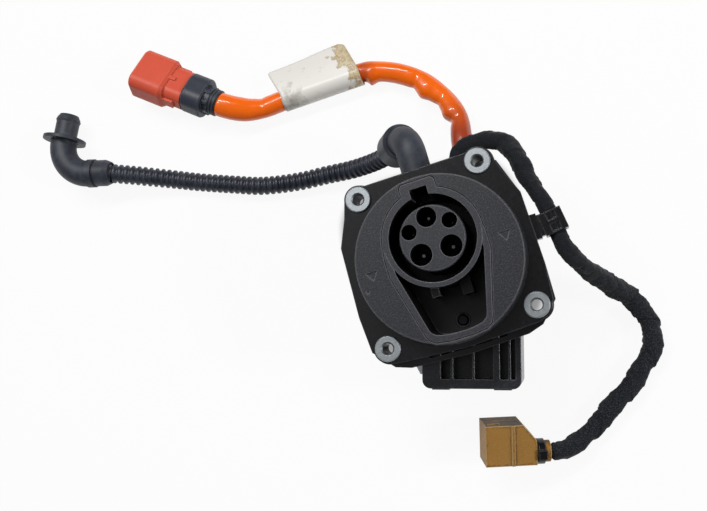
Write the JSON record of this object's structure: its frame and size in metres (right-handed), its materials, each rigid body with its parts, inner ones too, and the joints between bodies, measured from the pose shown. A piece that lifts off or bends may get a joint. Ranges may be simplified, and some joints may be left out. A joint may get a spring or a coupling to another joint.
{
  "type": "charge port inlet",
  "caption": "Vehicle charge port inlet: round pin socket and latch well on a bolted plate, lock actuator behind, corrugated drain hose, high voltage cable and taped signal harness.",
  "frame": {"origin": "centre of the rear cap's flat rear face, on the socket axis, which the part rests on face up", "axes": "+Z out of the socket along its axis, +Y from the socket axis towards the drain pipe, away from the latch well, +X to the right seen from the front"},
  "size_m": [0.3187, 0.2996, 0.0841],
  "materials": {
    "plate_plastic": "smooth moulded black plastic",
    "face_plastic": "finely textured moulded plastic",
    "rear_plastic": "moulded black plastic",
    "zinc_steel": "zinc plated steel",
    "lock_steel": "ground steel",
    "contact_metal": "silver plated copper alloy",
    "gold_contact": "bare copper alloy",
    "black_rubber": "moulded rubber",
    "hose_plastic": "extruded corrugated plastic",
    "orange_sheath": "glossy extruded plastic sleeve",
    "red_plastic": "moulded plastic",
    "collar_plastic": "moulded plastic",
    "tan_plastic": "moulded plastic",
    "cloth_tape": "woven cloth tape",
    "label_film": "coated film, soiled"
  },
  "bodies": {
    "inlet": {"mounting_flange": "plate_plastic", "mounting_sleeves": "zinc_steel", "face_disc": "face_plastic", "socket_housing": "face_plastic", "socket_barrel": "face_plastic", "collar_screws": "zinc_steel", "pin_carrier": "face_plastic", "carrier_flange": "rear_plastic", "line_pins": "contact_metal", "earth_pin": "contact_metal", "signal_pins": "contact_metal", "contact_retainer": "rear_plastic", "retainer_screws": "zinc_steel", "rear_housing": "rear_plastic", "rear_seal": "black_rubber", "rear_screws": "zinc_steel", "rear_cap": "rear_plastic", "cap_screws": "zinc_steel", "cable_gland": "rear_plastic", "cable_seal": "black_rubber", "harness_boot": "black_rubber", "lock_actuator_housing": "rear_plastic", "lock_actuator_cover": "rear_plastic", "lock_cover_screws": "zinc_steel", "lock_drive": "rear_plastic", "lock_pin_seal": "black_rubber", "actuator_screws": "zinc_steel", "actuator_bracket": "zinc_steel", "drain_elbow": "black_rubber", "hose_cuff": "black_rubber", "drain_hose": "hose_plastic", "hose_end_sleeve": "black_rubber", "drain_outlet": "black_rubber", "hv_cable": "orange_sheath", "hv_connector_housing": "red_plastic", "hv_connector_collar": "collar_plastic", "hv_strain_relief": "black_rubber", "hv_contacts": "gold_contact", "cable_label": "label_film", "signal_harness": "cloth_tape", "harness_clip": "rear_plastic", "signal_connector_housing": "tan_plastic", "signal_connector_cover": "tan_plastic", "signal_contacts": "contact_metal", "cable_tie": "rear_plastic"},
    "lock": {"lock_pin": "lock_steel"}
  },
  "joints": [
    {"name": "lock_slide", "type": "slide", "parent": "inlet", "child": "lock", "axis": [0, 0, 1], "range_m": [0, 0.0065]}
  ]
}
